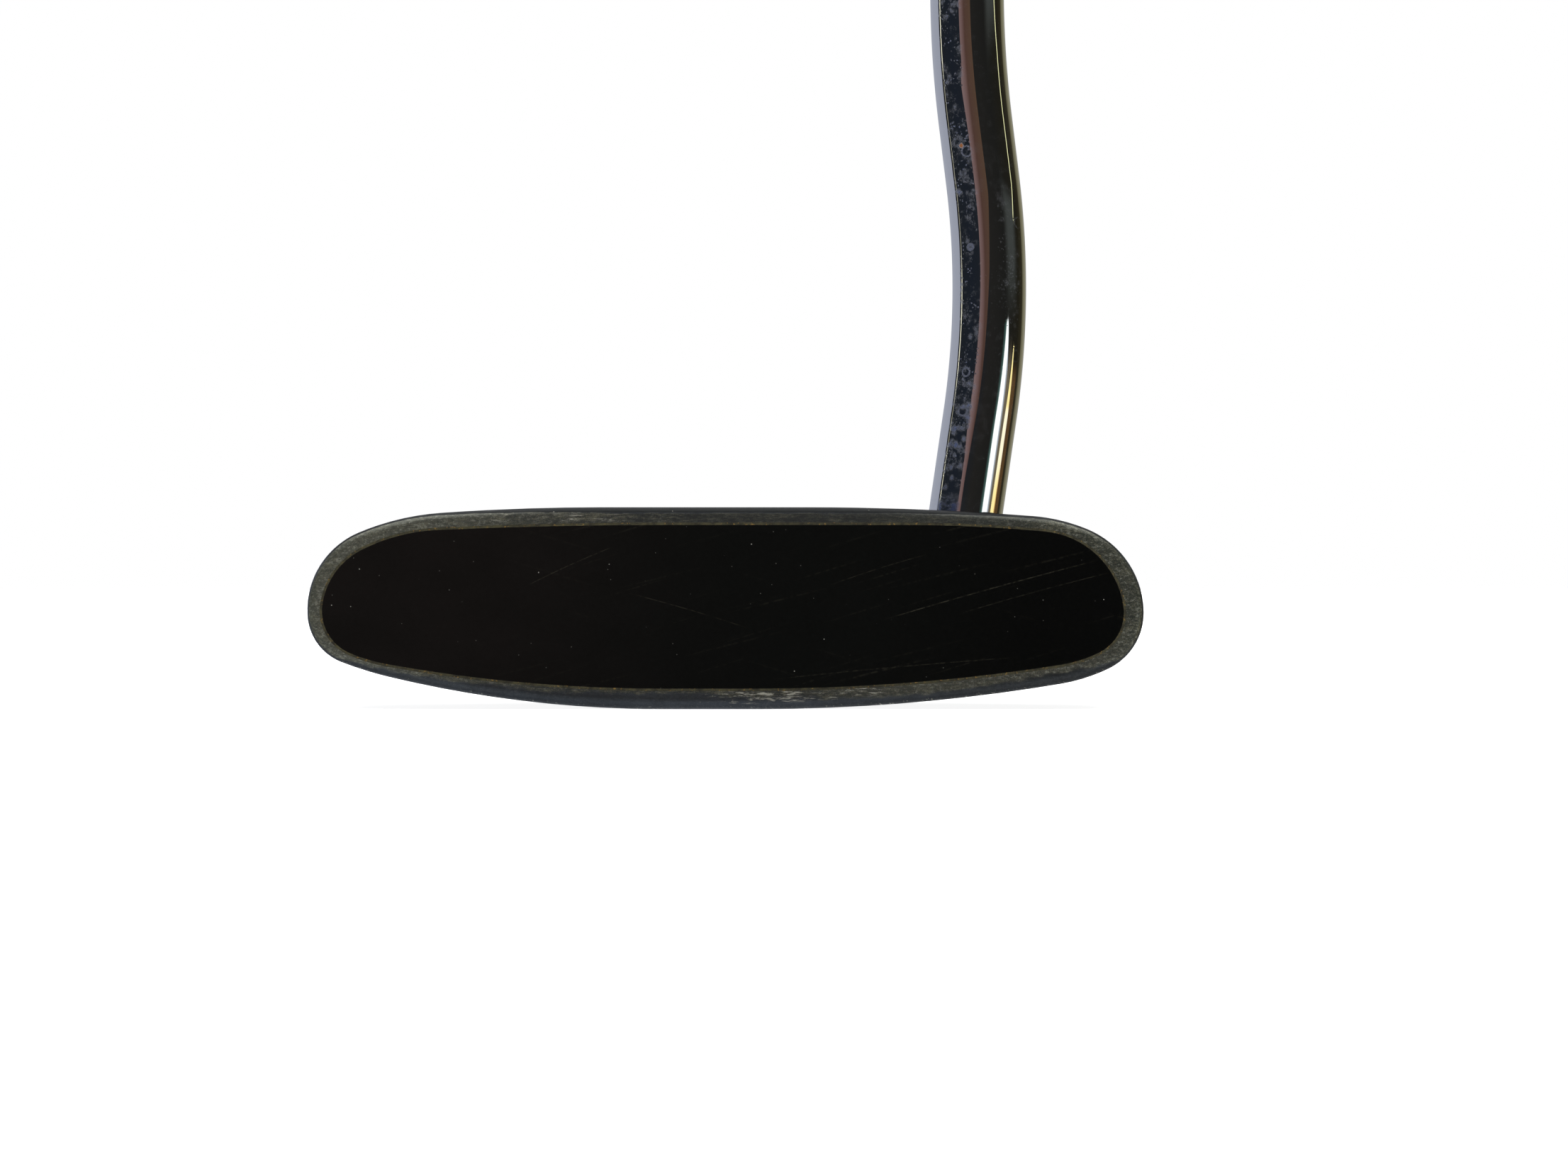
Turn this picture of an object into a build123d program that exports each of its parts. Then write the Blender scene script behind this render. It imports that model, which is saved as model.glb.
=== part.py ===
"""A right-handed blade putter, standing at address on the centre of its sole.

Millimetres, +Z up, toe towards -X, heel towards +X, striking face towards -Y.
The origin is the centre of the short flat on the sole.
"""
import os
from math import cos, radians, sin, tan

from build123d import *

# Head: outline seen square to the face
TOE_REACH = 50.2  # origin to the furthest point of the toe
HEEL_REACH = 54.2  # origin to the furthest point of the heel
HEAD_HEIGHT = 25.2
SOLE_FLAT = 12.0  # length of the flat between the two cambers of the sole
# Radius and turn, in degrees, of each arc from the sole round an end to the top.
# The first and last are the long curves of the sole and the crown.
TOE_ARCS = ((150, 13.5), (47, 7.5), (6.7, 63.5), (10.4, 72.5), (32, 19), (295, 4))
HEEL_ARCS = ((230, 9.5), (22.5, 16), (7.8, 65), (11.3, 66.5), (22, 18.5), (360, 4.5))

# Head: front to back
LOFT = 3.5  # degrees
FACE_AHEAD = 10.0  # leading edge, ahead of the origin
FLANGE_BEHIND = 17.5  # trailing edge at mid-length, behind the origin
END_BEHIND = 9.5  # trailing edge at the toe and heel, behind the origin
FRONT_EDGE_RADIUS = 1.2
REAR_EDGE_RADIUS = 4.0

# Head: the cavity behind the face
TOP_LINE = 8.0  # thickness of the top line
FLANGE_THICKNESS = 9.5
BUMPER_LENGTH = 19.0  # solid mass left at the toe and at the heel
BUMPER_HEIGHT = 20.5  # at the back of the top line
BUMPER_FALL = 16.0  # slope of the bumper tops down to the rear, degrees
BUMPER_FOOT_RADIUS = 2.0  # where the bumper tops meet the top line
CAVITY_CORNER_RADIUS = 5.0
CAVITY_FLOOR_RADIUS = 1.0
EDGE_BREAK = 0.8

# Face insert, glued into its pocket
INSERT_RIM_TOE = 2.0
INSERT_RIM_HEEL = 2.6
INSERT_RIM_TOP = 2.2
INSERT_RIM_SOLE = 2.6
INSERT_SOLE_FLAT = 12.0
INSERT_THICKNESS = 3.0
INSERT_TOE_ARCS = ((195, 10.2), (22, 12.5), (5.8, 75.5), (9, 55), (23.3, 24.3), (660, 2.5))
INSERT_HEEL_ARCS = ((243, 9), (16, 18), (5.6, 70.7), (10.9, 77), (190, 5.3))
GLUE_EDGE = 0.3  # glue line round the insert
GLUE_BED = 0.2  # glue under the insert

# Sight line: a painted groove on the flange
SIGHT_WIDTH = 1.5
SIGHT_LENGTH = 11.0
SIGHT_DEPTH = 0.6
PAINT_BELOW_EDGE = 0.1

# Shaft: a steel tube, bent twice and stepped
SHAFT_BEHIND = 1.5  # shaft's plane, behind the origin
SHAFT_ENTRY = 32.6  # shaft's axis at the height of the crown, from the origin
TIP_DIAMETER = 9.4
BUTT_DIAMETER = 14.7
TUBE_WALL = 0.55
TIP_LEAN = 8.3  # degrees towards the heel
MIDDLE_LEAN = -7.0  # degrees, between the bends
LIE = 71.0  # degrees from the ground to the upper shaft
LOWER_STRAIGHT = 12.2  # crown to lower bend, along the axis
MIDDLE_STRAIGHT = 7.9
LOWER_BEND_RADIUS = 112.0
UPPER_BEND_RADIUS = 141.0
CLUB_LENGTH = 889.0  # from the ground, along the upper shaft's line, to the cap
STEPS = 10
STEP_RAMP = 1.5
FIRST_STEP = 120.0  # end of the upper bend to the first step
LAST_STEP_BELOW_GRIP = 14.0

# Shaft's seat in the head
BORE_DEPTH = 19.0
BOSS_WALL = 2.4
BOSS_BELOW_CROWN = 2.0
GLUE_ROUND_SHAFT = 0.1
GLUE_UNDER_SHAFT = 0.3
PLUG_LENGTH = 12.0

# Grip
GRIP_LENGTH = 267.0  # with its cap
CAP_THICKNESS = 4.0
CAP_EDGE_RADIUS = 1.6
VENT_DIAMETER = 3.2
TAPE_THICKNESS = 0.2
TAPE_SHORT_OF_MOUTH = 3.0
GRIP_FRONT_CORNER = 4.5
GRIP_BACK_CORNER_SHARE = 0.46  # of the width
# Distance below the cap's top, then the rubber's thickness over the bore at the sides, at
# the thumb flat and at the back
GRIP_MOUTH = (GRIP_LENGTH, 1.75, 1.35, 1.95)
GRIP_LOWER_HAND = (150.0, 4.2, 2.45, 5.65)
GRIP_WAIST = (80.0, 4.95, 2.85, 7.85)
GRIP_SWELL = (22.0, 5.7, 3.05, 12.05)
GRIP_BUTT = (CAP_THICKNESS, 5.45, 3.05, 11.45)

# Selection tolerances
SAME_PLACE = 0.01
FACES_THE_SAME = 0.9999

mid_length = (HEEL_REACH - TOE_REACH) / 2
head_length = HEEL_REACH + TOE_REACH
cavity_length = head_length - 2 * BUMPER_LENGTH
face_up = Vector(0, sin(radians(LOFT)), cos(radians(LOFT)))
face_plane = Plane(
    origin=(0, -FACE_AHEAD, 0), x_dir=(1, 0, 0), z_dir=(0, -cos(radians(LOFT)), sin(radians(LOFT)))
)
top_line_back = -FACE_AHEAD + HEAD_HEIGHT * tan(radians(LOFT)) + TOP_LINE
pocket_depth = INSERT_THICKNESS + GLUE_BED
bore_radius = TIP_DIAMETER / 2 + GLUE_ROUND_SHAFT
grip_bore_radius = BUTT_DIAMETER / 2 + TAPE_THICKNESS


def end_arcs(arcs, start, side, reach, height):
    """Tangent arcs round one end, starting level at the sole and ending level at the top.

    The long arcs and the corner arcs are each scaled, so that the end has the given reach
    from its start and the given height.
    """
    rise = [0, 0]
    run = [0, 0]
    turned = 0
    for place, (radius, turn) in enumerate(arcs):
        kind = 0 if place in (0, len(arcs) - 1) else 1
        low, high = radians(turned), radians(turned + turn)
        rise[kind] += radius * (cos(low) - cos(high))
        run[kind] += radius * (sin(min(high, radians(90))) - sin(min(low, radians(90))))
        turned += turn
    determinant = rise[0] * run[1] - rise[1] * run[0]
    scale = (
        (height * run[1] - rise[1] * reach) / determinant,
        (rise[0] * reach - height * run[0]) / determinant,
    )
    edges = []
    point, heading = Vector(*start), Vector(side, 0)
    for place, (radius, turn) in enumerate(arcs):
        kind = 0 if place in (0, len(arcs) - 1) else 1
        edges.append(JernArc(point, heading, radius * scale[kind], turn * side))
        point, heading = edges[-1] @ 1, edges[-1] % 1
    return edges


def oval(toe_arcs, heel_arcs, toe, heel, bottom, top, flat):
    """Closed outline between the four limits, with a flat at the middle of its lower edge."""
    toe_end = end_arcs(toe_arcs, (-flat / 2, bottom), -1, toe - flat / 2, top - bottom)
    heel_end = end_arcs(heel_arcs, (flat / 2, bottom), 1, heel - flat / 2, top - bottom)
    sole = Line((-flat / 2, bottom), (flat / 2, bottom))
    crown = Line(toe_end[-1] @ 1, heel_end[-1] @ 1)
    return make_face([sole, crown, *toe_end, *heel_end])


def head_outline():
    """Outline of the head, square to the face."""
    return oval(TOE_ARCS, HEEL_ARCS, TOE_REACH, HEEL_REACH, 0, HEAD_HEIGHT, SOLE_FLAT)


def insert_outline(margin=0.0):
    """Outline of the insert, grown by a margin."""
    outline = oval(
        INSERT_TOE_ARCS,
        INSERT_HEEL_ARCS,
        TOE_REACH - INSERT_RIM_TOE,
        HEEL_REACH - INSERT_RIM_HEEL,
        INSERT_RIM_SOLE,
        HEAD_HEIGHT - INSERT_RIM_TOP,
        INSERT_SOLE_FLAT,
    )
    return offset(outline, margin) if margin else outline


def insert_block(margin, top, bottom):
    """The insert's outline, grown by a margin, between two depths under the face."""
    sketch = face_plane.offset(-bottom) * insert_outline(margin)
    return extrude(sketch, bottom - top)


# Shaft centreline, from the tip in its bore to the butt
crown_point = Vector(SHAFT_ENTRY, SHAFT_BEHIND, HEAD_HEIGHT)
shaft_plane = Plane(origin=(0, SHAFT_BEHIND, 0), x_dir=(1, 0, 0), z_dir=(0, -1, 0))
tip_axis = Vector(sin(radians(TIP_LEAN)), 0, cos(radians(TIP_LEAN)))
boss_top = crown_point - tip_axis * (BOSS_BELOW_CROWN / cos(radians(TIP_LEAN)))
bore_bottom = boss_top - tip_axis * BORE_DEPTH
tip = bore_bottom + tip_axis * GLUE_UNDER_SHAFT
tip_plane = Plane(origin=tuple(bore_bottom), x_dir=(0, 1, 0), z_dir=tuple(tip_axis))


def shaft_path():
    """The tube's centreline up to the end of the upper bend."""
    start = crown_point + tip_axis * LOWER_STRAIGHT
    lower = Line((tip.X, tip.Z), (start.X, start.Z))
    lower_bend = JernArc(lower @ 1, lower % 1, LOWER_BEND_RADIUS, TIP_LEAN - MIDDLE_LEAN)
    middle = Line(lower_bend @ 1, (lower_bend @ 1) + (lower_bend % 1) * MIDDLE_STRAIGHT)
    upper_turn = 90 - LIE - MIDDLE_LEAN
    upper_bend = JernArc(middle @ 1, middle % 1, UPPER_BEND_RADIUS, -upper_turn)
    return shaft_plane * Wire([lower, lower_bend, middle, upper_bend])


path = shaft_path()
bend_end = path @ 1
shaft_axis = Vector(cos(radians(LIE)), 0, sin(radians(LIE)))
ground_to_bend = bend_end.Z / sin(radians(LIE))
# Local +Z up the upper shaft, local +Y square to it, up and towards the toe
upper_plane = Plane(origin=tuple(bend_end), x_dir=(0, 1, 0), z_dir=tuple(shaft_axis))
cap_top = CLUB_LENGTH - ground_to_bend  # heights along the upper shaft, from the end of the bend
butt = cap_top - CAP_THICKNESS
grip_mouth = cap_top - GRIP_LENGTH


def stepped_profile(wall):
    """Outer radius against height along the upper shaft, less a wall."""
    last_step = grip_mouth - LAST_STEP_BELOW_GRIP
    pitch = (last_step - FIRST_STEP) / (STEPS - 1)
    growth = (BUTT_DIAMETER - TIP_DIAMETER) / 2 / STEPS
    radius = TIP_DIAMETER / 2 - wall
    points = [(radius, 0)]
    for step in range(STEPS):
        height = FIRST_STEP + step * pitch
        points.append((radius, height))
        radius += growth
        points.append((radius, height + STEP_RAMP))
    points.append((radius, butt))
    return points


def make_shaft():
    """Bent tube of one diameter, then the straight stepped tube up to the butt."""
    ring = Circle(TIP_DIAMETER / 2) - Circle(TIP_DIAMETER / 2 - TUBE_WALL)
    start = Plane(origin=path @ 0, x_dir=(0, 1, 0), z_dir=path % 0)
    bent = sweep(start * ring, path=path)
    outline = stepped_profile(0) + stepped_profile(TUBE_WALL)[::-1]
    half = make_face(Plane.XZ * Polyline(*outline, close=True))
    return bent + upper_plane * revolve(half, Axis.Z)


def head_blank():
    """The outline carried from front to back, with a lofted face and a bowed trailing edge."""
    length = FACE_AHEAD + FLANGE_BEHIND
    blank = extrude(Plane.XZ.offset(-FLANGE_BEHIND) * head_outline(), length + TOP_LINE)
    blank -= extrude(face_plane * Rectangle(4 * head_length, 4 * HEAD_HEIGHT), length)
    rear = ThreePointArc(
        (HEEL_REACH, END_BEHIND), (mid_length, FLANGE_BEHIND), (-TOE_REACH, END_BEHIND)
    )
    front = Polyline(
        (-TOE_REACH, END_BEHIND),
        (-TOE_REACH, -2 * FACE_AHEAD),
        (HEEL_REACH, -2 * FACE_AHEAD),
        (HEEL_REACH, END_BEHIND),
    )
    return blank & extrude(make_face([rear, front]), HEAD_HEIGHT)


def is_level_at(edge, height):
    """True for an edge that lies at one height."""
    box = edge.bounding_box()
    return abs(box.min.Z - height) < SAME_PLACE and abs(box.max.Z - height) < SAME_PLACE


def bumper_cutter(length):
    """All that is above the sloping bumper tops and behind the top line."""
    fall = length * tan(radians(BUMPER_FALL))
    profile = Polyline(
        (top_line_back, BUMPER_HEIGHT),
        (top_line_back + length, BUMPER_HEIGHT - fall),
        (top_line_back + length, 2 * HEAD_HEIGHT),
        (top_line_back, 2 * HEAD_HEIGHT),
        close=True,
    )
    block = extrude(Plane.YZ.offset(-2 * TOE_REACH) * make_face(profile), 4 * head_length)
    foot = block.edges().filter_by(Axis.X).group_by(Axis.Y)[0].sort_by(Axis.Z)[0]
    return fillet(foot, BUMPER_FOOT_RADIUS)


def cavity_cutter(length):
    """The hollow over the flange, open at the top and the rear."""
    block = Pos(mid_length, top_line_back, FLANGE_THICKNESS) * Box(
        cavity_length,
        length,
        HEAD_HEIGHT,
        align=(Align.CENTER, Align.MIN, Align.MIN),
    )
    block = fillet(block.edges().filter_by(Axis.Z).group_by(Axis.Y)[0], CAVITY_CORNER_RADIUS)
    return fillet(block.faces().sort_by(Axis.Z)[0].edges(), CAVITY_FLOOR_RADIUS)


def break_back_edges(head):
    """Rounds the sharp edges at the back of the head.

    They are the edges of the bumper tops, which run on smoothly along the back of the top
    line, the flange's rear edge and the cavity's rear corners.
    """
    slope = Vector(0, sin(radians(BUMPER_FALL)), cos(radians(BUMPER_FALL)))
    tops = head.faces().filter_by(lambda face: face.normal_at().dot(slope) > FACES_THE_SAME)
    feet = tops.edges().filter_by(Axis.X)
    rims = [edge for edge in tops.edges() if edge not in feet]
    flange = head.edges().filter_by(lambda edge: is_level_at(edge, FLANGE_THICKNESS))
    corners = head.edges().filter_by(Axis.Z).filter_by(
        lambda edge: abs(abs(edge.center().X - mid_length) - cavity_length / 2) < SAME_PLACE
    )
    rear_corners = corners.filter_by(lambda edge: edge.center().Y > END_BEHIND)
    return fillet([*rims, flange.sort_by(Axis.Y)[-1], *rear_corners], EDGE_BREAK)


def make_head():
    """Flanged blade with an insert pocket in its face and a boss for the shaft."""
    head = head_blank()
    front = head.faces().filter_by(
        lambda face: face.normal_at().dot(face_plane.z_dir) > FACES_THE_SAME
    )
    head = fillet(front.edges(), FRONT_EDGE_RADIUS)
    rear = head.faces().filter_by(GeomType.CYLINDER).sort_by(Axis.Y)[-1]
    head = fillet(rear.edges(), REAR_EDGE_RADIUS)
    past_rear = 2 * (FLANGE_BEHIND - top_line_back)
    head -= bumper_cutter(past_rear)
    head -= cavity_cutter(past_rear)
    head = break_back_edges(head)
    head += tip_plane * cylinder(bore_radius + BOSS_WALL, 0, BORE_DEPTH)
    head -= tip_plane * cylinder(bore_radius, 0, 2 * BORE_DEPTH)
    head -= insert_block(GLUE_EDGE, -HEAD_HEIGHT, pocket_depth)
    head -= sight_bar(0, SIGHT_DEPTH)
    return head


def cylinder(radius, bottom, top):
    """Upright cylinder between two heights."""
    return Pos(0, 0, bottom) * Cylinder(
        radius, top - bottom, align=(Align.CENTER, Align.CENTER, Align.MIN)
    )


def sight_bar(top, bottom):
    """The sight groove's slot, between two depths under the flange's top."""
    slot = SlotOverall(SIGHT_LENGTH, SIGHT_WIDTH, rotation=90)
    middle = (top_line_back + FLANGE_BEHIND) / 2
    return extrude(Pos(mid_length, middle, FLANGE_THICKNESS - bottom) * slot, bottom - top)


def make_insert():
    """The striking plate, flush with the face."""
    return insert_block(0, 0, INSERT_THICKNESS)


def make_insert_glue():
    """Glue under the insert, coming up round its edge to the face."""
    return insert_block(GLUE_EDGE, 0, pocket_depth) - insert_block(0, -1, INSERT_THICKNESS)


def make_shaft_glue():
    """Glue round the shaft's tip and under it."""
    sleeve = cylinder(bore_radius, 0, BORE_DEPTH)
    return tip_plane * (sleeve - cylinder(TIP_DIAMETER / 2, GLUE_UNDER_SHAFT, 2 * BORE_DEPTH))


def make_tip_plug():
    """Plug that keeps the glue out of the tube."""
    radius = TIP_DIAMETER / 2 - TUBE_WALL
    return tip_plane * cylinder(radius, GLUE_UNDER_SHAFT, GLUE_UNDER_SHAFT + PLUG_LENGTH)


def grip_section(below_cap, side, front, back):
    """Grip outline: a thumb flat facing +Y here, a rounded back facing -Y."""
    width = 2 * (grip_bore_radius + side)
    depth = 2 * grip_bore_radius + front + back
    block = Pos(0, (front - back) / 2, cap_top - below_cap) * Rectangle(width, depth)
    block = fillet(block.vertices().group_by(Axis.Y)[-1], GRIP_FRONT_CORNER)
    return fillet(block.vertices().group_by(Axis.Y)[0], GRIP_BACK_CORNER_SHARE * width)


def make_grip():
    """Pistol-shaped sleeve from the mouth to the cap."""
    stations = (GRIP_MOUTH, GRIP_LOWER_HAND, GRIP_WAIST, GRIP_SWELL, GRIP_BUTT)
    sleeve = loft([grip_section(*station) for station in stations])
    return upper_plane * (sleeve - cylinder(grip_bore_radius, grip_mouth - 1, butt + 1))


def make_grip_cap():
    """End cap of the grip, with a vent hole."""
    cap = extrude(grip_section(*GRIP_BUTT), CAP_THICKNESS)
    cap = fillet(cap.faces().sort_by(Axis.Z)[-1].edges(), CAP_EDGE_RADIUS)
    return upper_plane * (cap - cylinder(VENT_DIAMETER / 2, butt - 1, cap_top + 1))


def make_grip_tape():
    """Double-sided tape between the shaft and the grip."""
    start = grip_mouth + TAPE_SHORT_OF_MOUTH
    layer = cylinder(grip_bore_radius, start, butt) - cylinder(BUTT_DIAMETER / 2, start, butt)
    return upper_plane * layer


os.makedirs("parts", exist_ok=True)
pieces = {
    "head_body": make_head(),
    "face_insert": make_insert(),
    "insert_glue": make_insert_glue(),
    "sight_line": sight_bar(PAINT_BELOW_EDGE, SIGHT_DEPTH),
    "shaft": make_shaft(),
    "shaft_glue": make_shaft_glue(),
    "tip_plug": make_tip_plug(),
    "grip_sleeve": make_grip(),
    "grip_cap": make_grip_cap(),
    "grip_tape": make_grip_tape(),
}
for name, piece in pieces.items():
    export_step(piece, f"parts/{name}.step")
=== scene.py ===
"""A blade putter at address: the look of each piece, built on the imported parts."""
from math import cos, radians, sin

import bpy
import numpy as np
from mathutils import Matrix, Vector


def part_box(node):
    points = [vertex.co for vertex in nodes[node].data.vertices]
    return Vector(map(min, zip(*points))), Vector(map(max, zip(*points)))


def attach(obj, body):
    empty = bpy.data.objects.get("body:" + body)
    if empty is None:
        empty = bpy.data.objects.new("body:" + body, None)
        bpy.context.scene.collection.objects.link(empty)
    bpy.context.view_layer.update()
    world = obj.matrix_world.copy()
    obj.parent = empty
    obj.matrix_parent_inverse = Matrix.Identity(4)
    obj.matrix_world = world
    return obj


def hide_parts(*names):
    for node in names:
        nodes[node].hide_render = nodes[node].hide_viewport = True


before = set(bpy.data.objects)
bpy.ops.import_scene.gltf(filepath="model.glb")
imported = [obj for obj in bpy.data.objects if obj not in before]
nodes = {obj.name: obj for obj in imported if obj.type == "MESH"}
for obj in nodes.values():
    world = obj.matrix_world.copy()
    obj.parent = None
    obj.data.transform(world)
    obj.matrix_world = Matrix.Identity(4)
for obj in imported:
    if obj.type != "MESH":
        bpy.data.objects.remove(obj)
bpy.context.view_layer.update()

# ---------------------------------------------------------------------------------------
# Head: a cast blade with a cavity and a flange, in a dark gunmetal finish.
# The finish is worn to bare olive-grey metal on the narrow land round the face, the
# rounded edges keep it, with painted shade along the top front edge, and the sole has
# pale streaky scuffs from the ground.
MM = 0.001


class Channel:
    """A number or colour that varies over a surface: the output of a node."""

    def __init__(self, finish, socket):
        self.finish, self.socket = finish, socket

    def maths(self, operation, *values):
        """The Math node's operation on up to three numbers or channels."""
        return self.finish.node("ShaderNodeMath", {"operation": operation}, dict(enumerate(values)))

    def __add__(self, other): return self.maths("ADD", self, other)
    def __radd__(self, other): return self.maths("ADD", other, self)
    def __sub__(self, other): return self.maths("SUBTRACT", self, other)
    def __rsub__(self, other): return self.maths("SUBTRACT", other, self)
    def __mul__(self, other): return self.maths("MULTIPLY", self, other)
    def __rmul__(self, other): return self.maths("MULTIPLY", other, self)
    def __pow__(self, other): return self.maths("POWER", self, other)
    def __abs__(self): return self.maths("ABSOLUTE", self)
    def __or__(self, other): return self.maths("MAXIMUM", self, other)
    def __and__(self, other): return self.maths("MINIMUM", self, other)

    def ramp(self, low, high):
        """0 at low, 1 at high and smooth between them; low may be the larger."""
        if low > high:
            return 1 - self.ramp(high, low)
        settings = {"interpolation_type": "SMOOTHSTEP"}
        return self.finish.node("ShaderNodeMapRange", settings, {0: self, 1: low, 2: high})

    def within(self, middle, half_width, edge):
        """1 near a middle value, falling to 0 over an edge outside the half width."""
        return abs(self - middle).ramp(half_width + edge, half_width)


class Finish:
    """A material and the nodes that paint it."""

    def __init__(self, name, tree=None):
        """A new material of a name, or only the tree of nodes that is given."""
        if tree is None:
            self.material = bpy.data.materials.new(name)
            self.material.use_nodes = True
            tree = self.material.node_tree
        self.tree = tree
        tree.nodes.clear()

    def node(self, kind, settings=None, inputs=None, output=0):
        """A node of a kind, its settings made first, with values or links on its inputs."""
        made = self.tree.nodes.new(kind)
        for name, value in (settings or {}).items():
            if name == "stops":
                stops = made.color_ramp.elements
                while len(stops) < len(value):
                    stops.new(1.0)
                for stop, (place, colour) in zip(stops, value):
                    stop.position, stop.color = place, colour
            else:
                setattr(made, name, value)
        for key, value in (inputs or {}).items():
            if isinstance(value, Channel):
                self.tree.links.new(value.socket, made.inputs[key])
            else:
                made.inputs[key].default_value = value
        return Channel(self, made.outputs[output]) if made.outputs else None

    def place(self, scale=(1, 1, 1), turn=(0, 0, 0)):
        """Position on the object in metres, turned by angles in degrees, then scaled."""
        here = self.node("ShaderNodeTexCoord", output="Object")
        turned = self.node(
            "ShaderNodeMapping", {"vector_type": "POINT"},
            {"Vector": here, "Rotation": [radians(angle) for angle in turn]},
        )
        return self.node("ShaderNodeVectorMath", {"operation": "MULTIPLY"}, {0: turned, 1: scale})

    def axes(self):
        """Position on the object in millimetres, as three channels."""
        here = self.place((1000, 1000, 1000))
        return [self.node("ShaderNodeSeparateXYZ", inputs={0: here}, output=i) for i in range(3)]

    def noise(self, where, size, detail=4.0, rough=0.55):
        """Cloudy noise, 0 to 1 about a half, with lumps of a size in the units of where."""
        inputs = {"Vector": where, "Scale": 1 / size, "Detail": detail, "Roughness": rough}
        return self.node("ShaderNodeTexNoise", None, inputs)

    def cells(self, where, size):
        """Distance to the nearest of scattered points, as a share of the size between them."""
        inputs = {"Vector": where, "Scale": 1 / size}
        return self.node("ShaderNodeTexVoronoi", {"feature": "F1"}, inputs, "Distance")

    def facing(self, direction):
        """How far the surface faces a direction: 1 square to it, 0 edge on."""
        normal = self.node("ShaderNodeNewGeometry", output="Normal")
        return self.node(
            "ShaderNodeVectorMath", {"operation": "DOT_PRODUCT"}, {0: normal, 1: direction}, "Value"
        )

    def blend(self, share, first, second):
        """The first colour, turning into the second as the share goes from 0 to 1."""
        settings = {"data_type": "RGBA", "clamp_factor": True}
        return self.node("ShaderNodeMix", settings, {0: share, 6: first, 7: second}, 2)

    def relief(self, height, depth):
        """Normals of a surface raised by height times a depth in metres."""
        inputs = {"Height": height, "Distance": depth, "Strength": 1.0}
        return self.node("ShaderNodeBump", None, inputs)

    def shade(self, **sockets):
        """The main shader, by its sockets' names with _ for a space, onto the material."""
        named = {name.replace("_", " "): value for name, value in sockets.items()}
        shader = self.node("ShaderNodeBsdfPrincipled", None, named)
        self.node("ShaderNodeOutputMaterial", None, {"Surface": shader})
        return self.material


def tint(red, green, blue):
    """A colour by its three levels from 0 to 255, as a shader takes it."""
    levels = np.array([red, green, blue]) / 255
    linear = np.where(levels <= 0.04045, levels / 12.92, ((levels + 0.055) / 1.055) ** 2.4)
    return (*linear.tolist(), 1.0)


def dress(name, material):
    """Gives a CAD node its finish."""
    for slot in nodes[name].material_slots:
        slot.material = material


SOLE_MIDDLE, SOLE_CAMBER = 1.5, 0.0031  # mm, and the sole's rise in mm per mm squared
FACE_LOOKS = (0, -0.998, 0.061)  # square to the face, with its loft


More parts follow.
